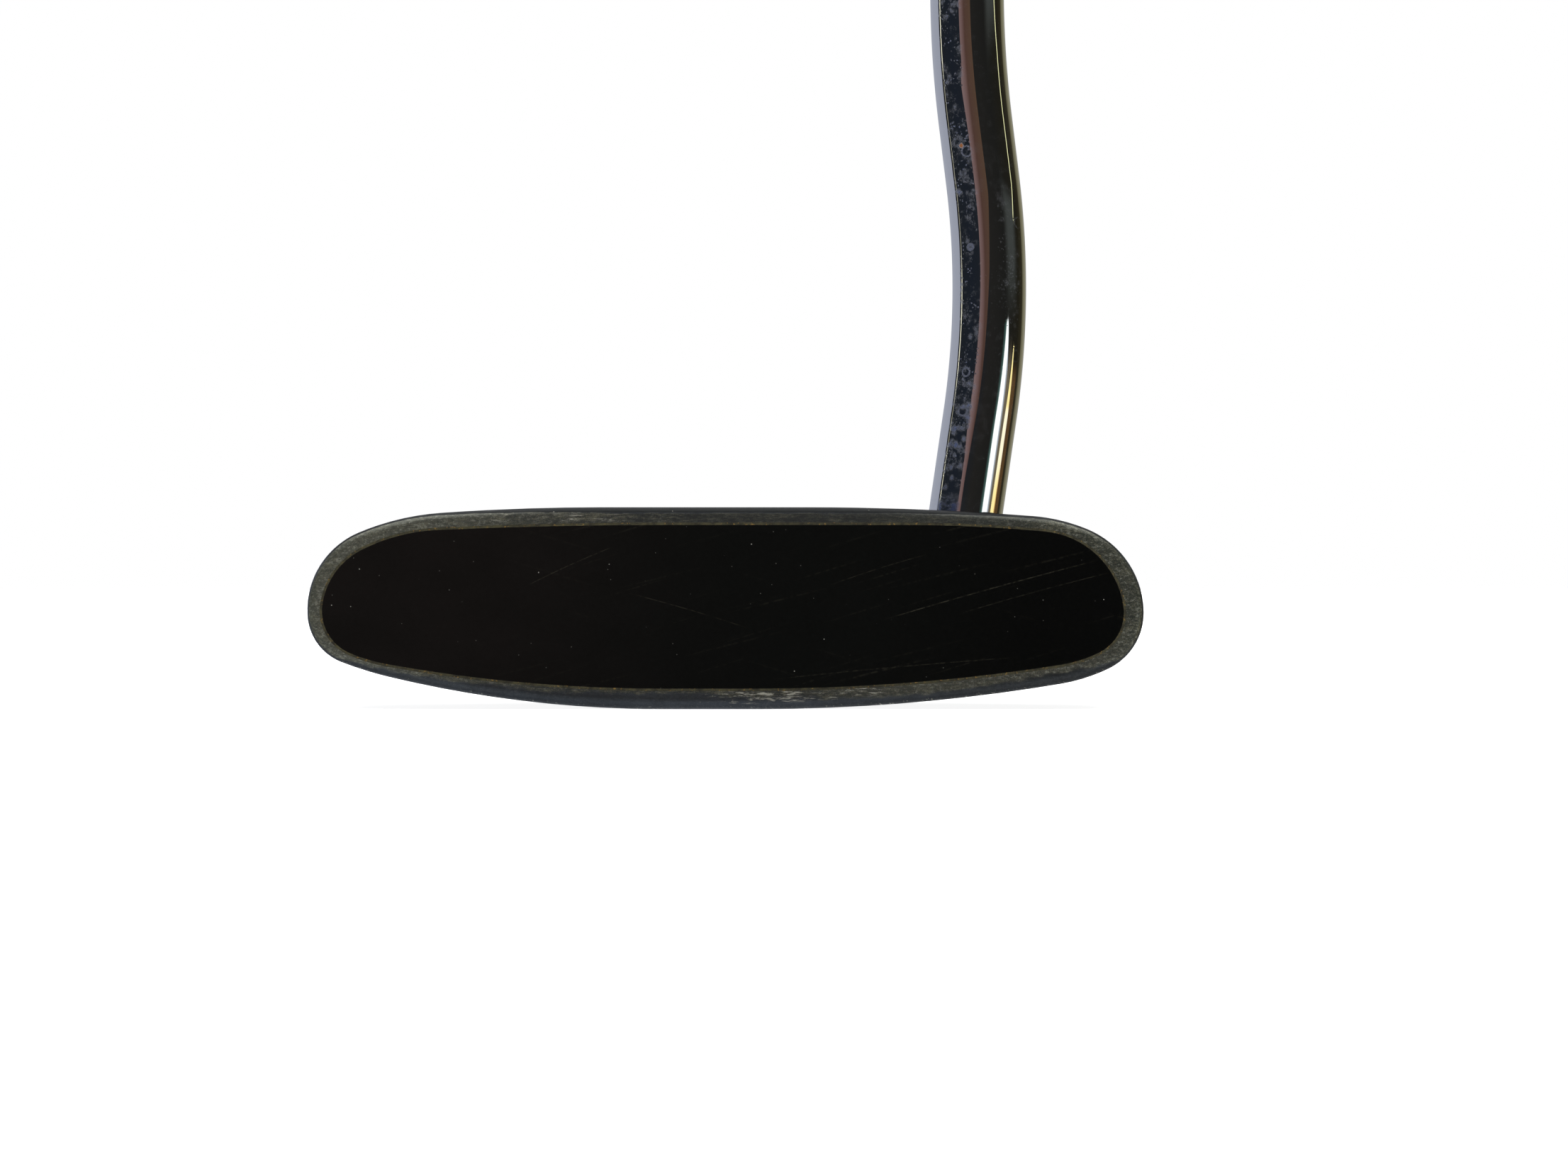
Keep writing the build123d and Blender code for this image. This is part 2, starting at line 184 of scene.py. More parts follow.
def gunmetal():
    """The ramps on x, y and z are in millimetres, and those on noises run from 0 to 1."""
    finish = Finish("gunmetal_worn")
    x, y, z = finish.axes()
    mottle = finish.noise(finish.place(), 2.2 * MM, 5)
    grain = finish.noise(finish.place((0.16, 1, 1)), 0.16 * MM, 4, 0.65)
    speckle = finish.noise(finish.place(), 0.11 * MM, 3, 0.6)
    flecks = finish.noise(finish.place((0.6, 1, 1)), 0.30 * MM, 4, 0.7)

    # The land round the face is worn, but for a band along the sole that keeps its finish
    front = finish.facing(FACE_LOOKS)
    ends = abs(x - 2).ramp(12, 48)
    along_sole = x - SOLE_MIDDLE
    sole_side = z - along_sole * along_sole * SOLE_CAMBER
    patchy = finish.noise(finish.place((0.35, 1, 1)), 1.1 * MM, 4)
    kept_low = (sole_side + abs(x + 3) * 0.065 + (patchy - 0.5) * 1.6).ramp(2.25, 1.75)
    land = (front + (mottle - 0.5) * 0.12 + ends * 0.30).ramp(0.93, 0.985)
    land = land * (1 - kept_low * 0.9)
    dull = finish.blend((2 - x).ramp(12, 46), tint(51, 53, 52), tint(80, 82, 74))
    dull = finish.blend((x - 2).ramp(20, 46), dull, tint(56, 59, 53))
    dull = finish.blend(x.ramp(8, 26) * z.ramp(10, 5), dull, tint(69, 70, 64))
    calm = x.within(18, 16, 10) * z.ramp(19, 21.5)  # less worn, so darker, along the top on the heel side
    worn = patchy - 0.5 + (grain - 0.45) * 1.8 + (speckle - 0.5) * (1.4 + ends * 1.6)
    worn = worn * (1 - calm * 0.5)
    bare = finish.blend(worn, dull, tint(126, 124, 104))
    pale_flecks = flecks.ramp(0.50, 0.70) * (0.2 + ends * 0.45) * (1 - calm * 0.6)
    dark_flecks = flecks.ramp(0.46, 0.30) * (0.3 + ends * 0.15)
    bare = finish.blend(pale_flecks, bare, tint(152, 153, 141))
    bare = finish.blend(dark_flecks, bare, tint(36, 38, 36))
    kept = finish.blend(mottle.ramp(0.3, 0.8) * 0.7, tint(74, 78, 82), tint(90, 95, 101))
    kept = finish.blend((speckle - 0.40) * 1.6 + (flecks - 0.5), kept, tint(106, 111, 116))
    # Painted shade: the top front edge, where it turns up to the crown, is painted near black
    painted_shade_top_edge = finish.facing((0, -0.45, 0.89)).ramp(0.62, 0.86) * y.ramp(-5.5, -7.5)
    kept = finish.blend(x.ramp(6, 30) * z.ramp(8, 4) * 0.5, kept, tint(50, 51, 50))
    kept = finish.blend(painted_shade_top_edge * 0.95, kept, tint(18, 19, 19))
    colour = finish.blend(land, kept, bare)

    # Pale scuffs by the sole towards the heel and over the face towards the toe, specks
    # all over, and scrapes under the sole
    streaks = finish.noise(finish.place((0.15, 1, 1)), 0.28 * MM, 5, 0.75)
    scuffed = sole_side.within(1.45, 0.4, 0.6) * front.ramp(0.3, 0.7)
    close_by = x.within(7, 4.5, 2) * 0.08 + x.within(17, 3, 2) * 0.03
    scuff = scuffed * x.within(19, 16, 6) * (streaks + close_by).ramp(0.58, 0.70) * 0.85
    over_face = x.within(-21, 7, 4) * z.within(23.9, 0.25, 0.4)
    scuff = scuff | over_face * streaks.ramp(0.54, 0.66) * front.ramp(0.5, 0.8) * 0.6
    speck = finish.cells(finish.place(), 1.5 * MM).ramp(0.075, 0.03) * mottle.ramp(0.45, 0.6)
    under = finish.facing((0, 0, -1)).ramp(0.5, 0.95)
    scraped = finish.noise(finish.place((1, 0.07, 1), (0, 0, 20)), 0.3 * MM, 4, 0.7)
    pale = scuff | speck * 0.5 | under * scraped.ramp(0.58, 0.70) * 0.8
    colour = finish.blend(pale, colour, tint(196, 194, 180))
    rough = 0.46 - land * 0.06 + (grain - 0.5) * 0.25 + (speckle - 0.5) * 0.2
    height = grain * 0.6 + speckle * 0.5 - scuff * 0.6
    return finish.shade(
        Base_Color=colour, Metallic=0.9 - (land | pale) * 0.5, Roughness=rough,
        Normal=finish.relief(height, 0.012 * MM),
    )


dress("head_body", gunmetal())

# ---------------------------------------------------------------------------------------
# Face insert: a moulded black polymer plate, flush in its pocket and glued in.
# Its face is dulled by long fine scratches from balls and towels, and holds fine dust.


def scratch(x, z, start, end, width=0.07):
    """1 along a slightly bowed scratch between two points on the face, in mm, 0 elsewhere.

    The distances along and across come from the turn that lays the scratch level.
    """
    run, rise = end[0] - start[0], end[1] - start[1]
    length = (run * run + rise * rise) ** 0.5
    cosine, sine = run / length, rise / length
    across = (x - start[0]) * -sine + (z - start[1]) * cosine
    along = (x - start[0]) * cosine + (z - start[1]) * sine
    bow = (along - length / 2) * (along - length / 2) * (0.6 / length ** 2)
    line = (across + bow).within(0, width * 0.3, width)
    return line * along.within(length / 2, length / 3, length / 5)


def hairlines(finish, turn, share, size=0.9):
    """Many faint parallel scratches up to a share, at an angle on the face in degrees."""
    lines = finish.cells(finish.place((0.02, 0, 1), (0, turn, 0)), size * MM)
    return lines.ramp(0.20, 0.03) * share


def insert_black():
    finish = Finish("insert_black")
    x, _, z = finish.axes()
    cloud = finish.noise(finish.place((1, 1, 1.6)), 11 * MM, 3)
    fine = finish.noise(finish.place(), 0.25 * MM, 4, 0.65)
    towards_toe = x.ramp(8, -34) * (cloud.ramp(0.2, 0.8) * 0.4 + 0.6)
    colour = finish.blend(towards_toe, tint(10, 11, 10), tint(20, 17, 16))
    colour = finish.blend(x.ramp(16, 44) * 0.6, colour, tint(4, 4, 4))
    colour = finish.blend((fine - 0.45) * 0.4, colour, tint(28, 28, 25))

    broken = finish.noise(finish.place(), 0.6 * MM, 3).ramp(0.38, 0.62)
    long_marks = (
        scratch(x, z, (22, 11.4), (48, 18.6))
        | scratch(x, z, (31, 12.0), (50, 17.2), 0.05) * 0.7
        | scratch(x, z, (8, 3.9), (38, 6.6), 0.06) * 0.7
        | scratch(x, z, (-23, 15.4), (-12, 20.4), 0.05) * 0.8
        | scratch(x, z, (-10, 14.6), (5, 10.2), 0.05) * 0.6
        | scratch(x, z, (15, 15.6), (27, 19.4), 0.05) * 0.6
    )
    patch = cloud.ramp(0.42, 0.6)
    fine_marks = (
        hairlines(finish, 14, 0.6)
        | hairlines(finish, 17, 0.5, 0.6)
        | hairlines(finish, -17, 0.4) * patch
    )
    fine_marks = fine_marks * x.ramp(-32, -6) * broken
    marks = long_marks * (0.1 + broken * 0.9) * 0.75 | fine_marks * 0.5
    colour = finish.blend(marks * 0.27, colour, tint(104, 100, 82))
    specks = finish.cells(finish.place(), 3.1 * MM).ramp(0.030, 0.018) * 0.4
    faint = finish.cells(finish.place(turn=(0, 31, 0)), 1.6 * MM).ramp(0.042, 0.025) * 0.16
    dust = specks | faint
    colour = finish.blend(dust, colour, tint(205, 205, 196))
    rough = 0.34 + (cloud - 0.5) * 0.15 + (fine - 0.5) * 0.15 + marks * 0.2
    return finish.shade(
        Base_Color=colour, Roughness=rough, Specular_IOR_Level=0.12,
        Normal=finish.relief(fine * 0.4 - marks * 0.5 + dust, 0.01 * MM),
    )


dress("face_insert", insert_black())

# ---------------------------------------------------------------------------------------
# Glue line: brown adhesive squeezed up round the insert's edge and wiped flush, with
# rusty orange bits of dirt in it.


def brown_glue():
    finish = Finish("brown_glue")
    lump = finish.noise(finish.place(), 0.8 * MM, 4, 0.6)
    bits = finish.noise(finish.place(), 0.35 * MM, 3, 0.6)
    colour = finish.blend(lump.ramp(0.3, 0.7), tint(40, 38, 26), tint(72, 68, 43))
    colour = finish.blend(bits.ramp(0.58, 0.70), colour, tint(132, 104, 46))
    return finish.shade(
        Base_Color=colour, Roughness=0.42 + lump * 0.3,
        Normal=finish.relief(lump + bits * 0.5, 0.05 * MM),
    )


dress("insert_glue", brown_glue())

# ---------------------------------------------------------------------------------------
# Sight line: a bar to aim by, of white enamel run into a groove in the flange and wiped
# level. It is a little chipped and dirty.


def white_enamel():
    finish = Finish("white_enamel")
    dirt = finish.noise(finish.place(), 1.6 * MM, 5, 0.6)
    chips = finish.noise(finish.place(), 0.4 * MM, 3)
    chipped = chips.ramp(0.70, 0.74)
    colour = finish.blend(dirt.ramp(0.45, 0.75), tint(232, 230, 222), tint(186, 181, 166))
    colour = finish.blend(chipped, colour, tint(70, 70, 70))
    return finish.shade(
        Base_Color=colour, Roughness=0.32 + dirt * 0.25,
        Normal=finish.relief(dirt - chipped, 0.03 * MM),
    )


dress("sight_line", white_enamel())

# ---------------------------------------------------------------------------------------
# Shaft: drawn steel tube, bent twice over the head, with ten steps up to the grip.
# It is chromed. The plating is hazy and pitted low down, with one spot of rust.
CROWN_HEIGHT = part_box("head_body")[1].z
SHAFT_BEHIND, SHAFT_ENTRY = 1.5 * MM, 32.6 * MM  # where its line meets the crown: y and x
TIP_RADIUS, BUTT_RADIUS, TUBE_WALL = 4.7 * MM, 7.35 * MM, 0.55 * MM
TIP_LEAN, MIDDLE_LEAN, UPPER_LEAN = radians(8.3), radians(-7.0), radians(19.0)
LOWER_STRAIGHT, MIDDLE_STRAIGHT = 12.2 * MM, 7.9 * MM
LOWER_BEND, UPPER_BEND = 112 * MM, 141 * MM
TIP_IN_HEAD = 20.72 * MM  # along the axis, below the crown
# Distances along the axis from the end of the upper bend: the cap's top, then the steps
CAP_TOP, GRIP_LENGTH, CAP_THICKNESS = 743.02 * MM, 267 * MM, 4 * MM
FIRST_STEP, LAST_STEP, STEPS, STEP_RAMP = 120 * MM, 462.03 * MM, 10, 1.5 * MM


def centreline(spacing):
    """Points and leans of the tube's line from the tip to the end of the upper bend.

    The lean off upright is held on the straights and changes evenly round each bend; the
    point is the sum of the little runs along it.
    """
    lengths = np.array([
        TIP_IN_HEAD + LOWER_STRAIGHT,
        LOWER_BEND * (TIP_LEAN - MIDDLE_LEAN),
        MIDDLE_STRAIGHT,
        UPPER_BEND * (UPPER_LEAN - MIDDLE_LEAN),
    ])
    ends = np.concatenate([[0], np.cumsum(lengths)])
    count = int(ends[-1] / spacing)
    along = np.linspace(0, ends[-1], count + 1)
    lean_at = [TIP_LEAN, TIP_LEAN, MIDDLE_LEAN, MIDDLE_LEAN, UPPER_LEAN]
    fine = np.linspace(0, ends[-1], 40 * count + 1)
    lean = np.interp(fine, ends, lean_at)
    step = np.diff(fine)[:, None]
    middle = (lean[1:] + lean[:-1]) / 2
    runs = np.stack([np.sin(middle), 0 * middle, np.cos(middle)], 1) * step
    points = np.concatenate([np.zeros((1, 3)), np.cumsum(runs, 0)])[::40]
    tip = np.array([SHAFT_ENTRY - TIP_IN_HEAD * sin(TIP_LEAN), SHAFT_BEHIND,
                    CROWN_HEIGHT - TIP_IN_HEAD * cos(TIP_LEAN)])
    return along, tip + points, np.interp(along, ends, lean_at)


def skin(name, rings, sharp=35):
    """A closed mesh through a grid of points, each ring joined to the next one and the
    last to the first. The faces are turned round if they enclose a negative volume."""
    count, around = rings.shape[:2]
    ring, step = np.meshgrid(np.arange(count), np.arange(around), indexing="ij")
    next_ring, next_step = (ring + 1) % count, (step + 1) % around
    corners = [ring * around + step, ring * around + next_step,
               next_ring * around + next_step, next_ring * around + step]
    faces = np.stack(corners, -1).reshape(-1, 4)
    points = rings.reshape(-1, 3)
    a, b, c, d = (points[faces[:, i]] for i in range(4))
    if (a * np.cross(b, c) + a * np.cross(c, d)).sum() < 0:
        faces = faces[:, ::-1]
    mesh = bpy.data.meshes.new(name)
    mesh.from_pydata(points.tolist(), [], faces.tolist())
    mesh.polygons.foreach_set("use_smooth", np.ones(len(faces), bool))
    mesh.set_sharp_from_angle(angle=radians(sharp))
    mesh.update()
    made = bpy.data.objects.new(name, mesh)
    bpy.context.scene.collection.objects.link(made)
    return made


def finished(made, node, material):
    """Hangs a piece on the body in place of its CAD node."""
    made.data.materials.append(material)
    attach(made, "root")
    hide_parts(node)


def make_shaft(around=112):
    """Rings of the tube's radius, square to its line, up the outside and down the bore."""
    along, points, lean = centreline(0.8 * MM)
    bend_end = points[-1]
    steps = FIRST_STEP + np.arange(STEPS) * (LAST_STEP - FIRST_STEP) / (STEPS - 1)
    shoulders = (steps[:, None] + np.linspace(-0.2, 1.2, 8) * STEP_RAMP).ravel()
    heights = np.unique(np.concatenate([
        np.linspace(0, CAP_TOP - CAP_THICKNESS, 120)[1:], shoulders]))
    axis = np.array([sin(UPPER_LEAN), 0, cos(UPPER_LEAN)])
    climbed = np.clip((heights[:, None] - steps) / STEP_RAMP, 0, 1)
    climbed = (climbed * climbed * (3 - 2 * climbed)).sum(1)
    points = np.concatenate([points, bend_end + heights[:, None] * axis])
    lean = np.concatenate([lean, np.full(len(heights), UPPER_LEAN)])
    outside = np.concatenate([
        np.full(len(along), TIP_RADIUS),
        TIP_RADIUS + (BUTT_RADIUS - TIP_RADIUS) * climbed / STEPS])
    points = np.concatenate([points, points[::-1]])
    lean = np.concatenate([lean, lean[::-1]])
    radius = np.concatenate([outside, outside[::-1] - TUBE_WALL])
    turn = np.linspace(0, 2 * np.pi, around, endpoint=False)
    sideways = np.stack([np.cos(lean), 0 * lean, -np.sin(lean)], 1)
    rings = points[:, None] + radius[:, None, None] * (
        np.cos(turn)[None, :, None] * sideways[:, None]
        + np.sin(turn)[None, :, None] * np.array([0, 1, 0]))
    return skin("chromed_shaft", rings), bend_end, axis


RUST_SPOT = (31.7, -2.5, 71.1)  # mm


def chrome():
    """Clean but for the sides that face the toe, low down. Heights are in millimetres."""
    finish = Finish("chrome_pitted")
    x, y, z = finish.axes()
    low = z.ramp(150, 90) * 0.85 + 0.15
    toe_side = finish.facing((-0.58, -0.815, 0)).ramp(0.92, 0.975) * 0.96 + 0.04
    cloud = finish.noise(finish.place(), 4 * MM, 4, 0.6)
    blotch = finish.noise(finish.place(), 1.3 * MM, 4, 0.65)
    thick = z.within(36, 4, 3) * 0.14 + z.within(68, 3, 4) * 0.10
    haze = (blotch + thick * 0.5).ramp(0.52, 0.78) * (cloud + thick).ramp(0.40, 0.64)
    pits = finish.cells(finish.place(), 0.42 * MM).ramp(0.36, 0.12)
    pits = pits * finish.noise(finish.place(), 2.2 * MM, 3).ramp(0.46, 0.60)
    lumps = finish.cells(finish.place((1, 1, 0.8)), 1.0 * MM).ramp(0.46, 0.06)
    lumps = lumps * (cloud + z.within(31, 4, 5) * 0.12).ramp(0.50, 0.64)
    rings = finish.cells(finish.place(), 4.2 * MM).within(0.17, 0.012, 0.02)  # dried drops
    heel_side = finish.facing((0.52, -0.85, 0)).ramp(0.90, 0.97) * z.within(54, 8, 6) * 0.22
    where = low * toe_side | heel_side
    haze, pits, lumps, rings = (mark * where for mark in (haze, pits, lumps, rings))
    rust_x, rust_y, rust_z = x - RUST_SPOT[0], y - RUST_SPOT[1], z - RUST_SPOT[2]
    away = (rust_x * rust_x + rust_y * rust_y + rust_z * rust_z) ** 0.5
    rust = (away + (blotch - 0.5) * 0.8).ramp(0.42, 0.22)
    foot = z.ramp(27.4, 25.8) * blotch.ramp(0.38, 0.60) * toe_side  # smeared epoxy
    dull = haze * 0.60 | pits * 0.5 | lumps * 0.45 | rings * 0.35 | foot * 0.6
    colour = finish.blend(dull * 1.7, tint(232, 233, 236), tint(138, 153, 202))
    colour = finish.blend(rust, colour, tint(150, 92, 48))
    height = haze * 0.2 - pits - rust
    return finish.shade(
        Base_Color=colour, Metallic=1 - (rust | dull * 0.6) * 0.85,
        Roughness=0.025 + dull * 0.4 + rust * 0.5,
        Normal=finish.relief(height, 0.006 * MM),
    )


shaft, bend_end, shaft_axis = make_shaft()
finished(shaft, "shaft", chrome())

# ---------------------------------------------------------------------------------------
# Shaft glue and tip plug: clear epoxy round the tip in its bore, and the rubber plug that
# keeps the epoxy out of the tube. Only a thin ring of the epoxy shows.


def epoxy():
    finish = Finish("epoxy_amber")
    cloud = finish.noise(finish.place(), 0.9 * MM, 4)
    colour = finish.blend(cloud, tint(96, 82, 58), tint(138, 122, 92))
    return finish.shade(
        Base_Color=colour, Roughness=0.25 + cloud * 0.3,
        Normal=finish.relief(cloud, 0.05 * MM))


def plug_rubber():
    finish = Finish("plug_rubber")
    grain = finish.noise(finish.place(), 0.4 * MM, 4)
    colour = finish.blend(grain, tint(40, 40, 42), tint(62, 61, 60))
    return finish.shade(
        Base_Color=colour, Roughness=0.7 + grain * 0.2,
        Normal=finish.relief(grain, 0.04 * MM))


dress("shaft_glue", epoxy())
dress("tip_plug", plug_rubber())

# ---------------------------------------------------------------------------------------
# Grip tape: cream paper tape with glue on both sides, wound round the butt before the
# sleeve goes on. The sleeve hides it.


def paper_tape():
    finish = Finish("paper_tape")
    crepe = finish.noise(finish.place((1, 1, 6)), 1.2 * MM, 4)
    colour = finish.blend(crepe, tint(214, 202, 170), tint(188, 172, 136))
    return finish.shade(
        Base_Color=colour, Roughness=0.85 + (crepe - 0.5) * 0.1,
        Normal=finish.relief(crepe, 0.05 * MM))


dress("grip_tape", paper_tape())

# ---------------------------------------------------------------------------------------
# Grip sleeve: one moulded rubber sleeve with a thumb flat and a pistol back, pushed on over
# wet tape. Cross grooves are moulded in the thumb flat, and slanting ones round the back.
BORE_RADIUS = 7.55 * MM
FRONT_CORNER, BACK_CORNER_SHARE = 4.5 * MM, 0.46
FLAT_PITCH, FLAT_GROOVE = 3.2 * MM, 1.5 * MM
BACK_PITCH, BACK_GROOVE, BACK_SLANT = 6.0 * MM, 1.7 * MM, 9  # the slant in mm a radian
GROOVE_DEPTH, COLLAR_DEPTH = 0.5, 0.3  # mm
PLAIN_BUTT, PLAIN_MOUTH, COLLAR_UP = 24 * MM, 20 * MM, 8 * MM  # ends with no grooves
# Distance below the cap's top, then the rubber's thickness at the sides, the thumb flat
# and the back, in mm
STATIONS = np.array([
    (267, 1.75, 1.35, 1.95),
    (150, 4.20, 2.45, 5.65),
    (80, 4.95, 2.85, 7.85),
    (22, 5.67, 3.05, 12.05),
    (4, 5.43, 3.05, 11.45),
]) * MM


def smooth_through(at, places, values):
    """Values on a smooth curve through given ones: cubic runs whose slope at each place is
    the mean of the slopes on its two sides."""
    slope = np.gradient(values, places)
    run = np.clip(np.searchsorted(places, at) - 1, 0, len(places) - 2)
    width = places[run + 1] - places[run]
    t = (at - places[run]) / width
    return ((2 * t**3 - 3 * t**2 + 1) * values[run] + (t**3 - 2 * t**2 + t) * width * slope[run]
            + (3 * t**2 - 2 * t**3) * values[run + 1] + (t**3 - t**2) * width * slope[run + 1])


def grip_outline(side, front, back, flats=(30, 12, 10), corner=16):
    """Points round the grip and their outward directions, for arrays of thicknesses.

    The outline is a rectangle with two small corner arcs at the thumb flat and two large
    ones at the back; the straights join the ends of the arcs. The first axis is the
    height, and the columns are across the grip and out through the thumb flat.
    """
    half = BORE_RADIUS + side
    out, behind = BORE_RADIUS + front, BORE_RADIUS + back
    big = 2 * BACK_CORNER_SHARE * half
    small = np.full_like(half, FRONT_CORNER)
    # Centre and radius of each corner's arc, and the angle it starts at
    corners = (
        (half - small, out - small, small, 0),
        (small - half, out - small, small, 90),
        (big - half, big - behind, big, 180),
        (half - big, big - behind, big, 270),
    )
    quarter = np.radians(np.linspace(0, 90, corner))
    arcs, ways = [], []
    for across, up, radius, begin in corners:
        angle = quarter + radians(begin)
        way = np.stack([np.cos(angle), np.sin(angle)], -1)
        arcs.append(np.stack([across, up], -1)[:, None] + radius[:, None, None] * way)
        ways.append(np.broadcast_to(way, arcs[-1].shape))
    points, outward = [], []
    for place, count in enumerate((flats[0], flats[1], flats[2], flats[1])):
        start, end = arcs[place][:, -1:], arcs[(place + 1) % 4][:, :1]
        share = np.linspace(0, 1, count + 2)[1:-1][None, :, None]
        points += [arcs[place], start + (end - start) * share]
        outward += [ways[place], np.broadcast_to(ways[place][:, -1:], points[-1].shape)]
    return np.concatenate(points, 1), np.concatenate(outward, 1)


def on_upper_shaft(outline, height):
    """Outlines across and out from the thumb flat, and heights over the upper bend, placed
    on the upper shaft. The thumb flat faces up and towards the toe, and across is +Y."""
    up_flat = np.array([-cos(UPPER_LEAN), 0, sin(UPPER_LEAN)])
    return (bend_end + outline[..., :1] * np.array([0, 1, 0]) + outline[..., 1:] * up_flat
            + np.reshape(height, (-1, 1, 1)) * shaft_axis)


def groove(distance, pitch, width):
    """1 in the middle of grooves a pitch apart, falling smoothly to 0 at their edges."""
    off = np.abs((distance / pitch) % 1 - 0.5) * pitch
    share = np.clip(1 - off / (width / 2), 0, 1)
    return share * share * (3 - 2 * share)


def make_grip():
    """The sleeve's outlines up its outside, sunk by the grooves, and down its bore.

    The cross grooves follow the height, and the slanting ones the height plus or minus a
    share of the angle round the back, which crosses them into diamonds. One groove more,
    the collar, goes all round near the mouth.
    """
    height = np.linspace(CAP_TOP - GRIP_LENGTH, CAP_TOP - CAP_THICKNESS, 440)
    below = CAP_TOP - height
    side, front, back = (
        smooth_through(-below, -STATIONS[:, 0], STATIONS[:, i]) for i in (1, 2, 3))
    outline, outward = grip_outline(side, front, back)
    across = outline[..., 0]
    inside_edge = 0.60 * (BORE_RADIUS + side)[:, None] - np.abs(across)
    flat = np.clip((outward[..., 1] - 0.985) / 0.012, 0, 1)
    flat = flat * np.clip(inside_edge / (0.6 * MM), 0, 1)
    round_back = np.clip((0.35 - outward[..., 1]) / 0.15, 0, 1)
    inside_ends = np.minimum(below - PLAIN_BUTT, GRIP_LENGTH - PLAIN_MOUTH - below)
    grooved = np.clip(inside_ends / (1 * MM), 0, 1)
    swing = np.arctan2(across, -outline[..., 1]) * BACK_SLANT * MM
    slant = groove(height[:, None] + swing, BACK_PITCH, BACK_GROOVE)
    other = groove(height[:, None] - swing, BACK_PITCH, BACK_GROOVE)
    cut = grooved[:, None] * (
        flat * groove(height, FLAT_PITCH, FLAT_GROOVE)[:, None] * GROOVE_DEPTH
        + round_back * np.maximum(slant, other) * GROOVE_DEPTH)
    up_from_collar = np.clip(GRIP_LENGTH - COLLAR_UP - below, -1 * MM, 1 * MM)
    collar = groove(up_from_collar + 1 * MM, 2 * MM, 1.2 * MM)
    cut = (cut + collar[:, None] * COLLAR_DEPTH) * MM
    outline = outline - outward * cut[..., None]
    round_bore = outline / np.linalg.norm(outline, axis=-1, keepdims=True) * BORE_RADIUS
    ends_of_bore = [0, len(height) // 2, -1]
    rings = np.concatenate([
        on_upper_shaft(outline, height),
        on_upper_shaft(round_bore[ends_of_bore], height[ends_of_bore])[::-1]])
    made = skin("grip_sleeve_rubber", rings, 50)
    depth = np.zeros(rings.shape[:2], np.float32)
    depth[:len(height)] = cut / (GROOVE_DEPTH * MM)
    moulded = made.data.attributes.new("moulded", "FLOAT", "POINT")
    moulded.data.foreach_set("value", depth.ravel())
    return made


def grip_rubber():
    finish = Finish("grip_rubber")
    pebble = finish.cells(finish.place(), 0.55 * MM)
    cloud = finish.noise(finish.place(), 14 * MM, 4)
    fine = finish.noise(finish.place(), 0.2 * MM, 3)
    moulded = finish.node("ShaderNodeAttribute", {"attribute_name": "moulded"}, output="Fac")
    colour = finish.blend(cloud.ramp(0.35, 0.7), tint(38, 38, 39), tint(54, 53, 51))
    colour = finish.blend((fine - 0.5) * 1.2, colour, tint(80, 79, 75))
    # Painted shade: the grooves are painted darker by their depth
    colour = finish.blend(moulded.ramp(0.1, 0.9) * 0.8, colour, tint(14, 14, 14))
    return finish.shade(
        Base_Color=colour, Specular_IOR_Level=0.4,
        Roughness=0.56 + (cloud - 0.5) * 0.3 + (fine - 0.5) * 0.15 + moulded * 0.25,
        Normal=finish.relief(pebble * 0.6 + fine, 0.03 * MM))


finished(make_grip(), "grip_sleeve", grip_rubber())

# ---------------------------------------------------------------------------------------
# Grip cap: the moulded end of the grip, with a rounded edge and the vent hole that lets
# air and solvent out as the grip goes on.
VENT_RADIUS, CAP_EDGE = 1.6 * MM, 1.6 * MM
RING_PITCH, RING_WIDTH = 0.34, 0.09  # shares of the way from the edge in to the vent
RING_DEPTH = 0.25 * MM


def make_cap():
    """The butt outline carried up the cap, in round its edge, across its top with two
    moulded rings, and down the vent hole."""
    base = CAP_TOP - CAP_THICKNESS
    ones = np.ones(1)
    outline, outward = grip_outline(*(ones * s for s in STATIONS[-1, 1:]))
    turn = np.radians(np.linspace(0, 90, 12))
    inset = np.concatenate([[0, 0], CAP_EDGE * (1 - np.cos(turn))])
    height = np.concatenate([[base, base + 1.5 * MM], CAP_TOP - CAP_EDGE * (1 - np.sin(turn))])
    edge = outline - outward * inset[:, None, None]
    rim = edge[-1:]
    vent = rim / np.linalg.norm(rim, axis=-1, keepdims=True) * VENT_RADIUS
    share = np.linspace(0, 1, 60)[1:]
    top = rim + (vent - rim) * share[:, None, None]
    sunk = groove(share, RING_PITCH, RING_WIDTH) * (share < 0.9)
    top_height = CAP_TOP - sunk * RING_DEPTH
    rings = np.concatenate([
        on_upper_shaft(edge, height),
        on_upper_shaft(top, top_height),
        on_upper_shaft(np.repeat(vent, 2, 0), np.array([CAP_TOP - 2 * MM, base]))])
    return skin("grip_cap_rubber", rings, 50)


def cap_rubber():
    finish = Finish("cap_rubber")
    cloud = finish.noise(finish.place(), 5 * MM, 4)
    fine = finish.noise(finish.place(), 0.25 * MM, 3)
    colour = finish.blend(cloud, tint(30, 30, 31), tint(46, 45, 44))
    return finish.shade(
        Base_Color=colour, Roughness=0.5 + (cloud - 0.5) * 0.3 + (fine - 0.5) * 0.1,
        Normal=finish.relief(fine, 0.02 * MM))


finished(make_cap(), "grip_cap", cap_rubber())

# ---------------------------------------------------------------------------------------
# Studio: a white floor and a round room, white to the eye. In reflections the room has
# dark walls, a lamp, lines of light and a soft box overhead, which streak the chrome, and
# a brown card stands off the face.
CARD_PLACE, FLOOR_REACH = -0.60, 30  # metres


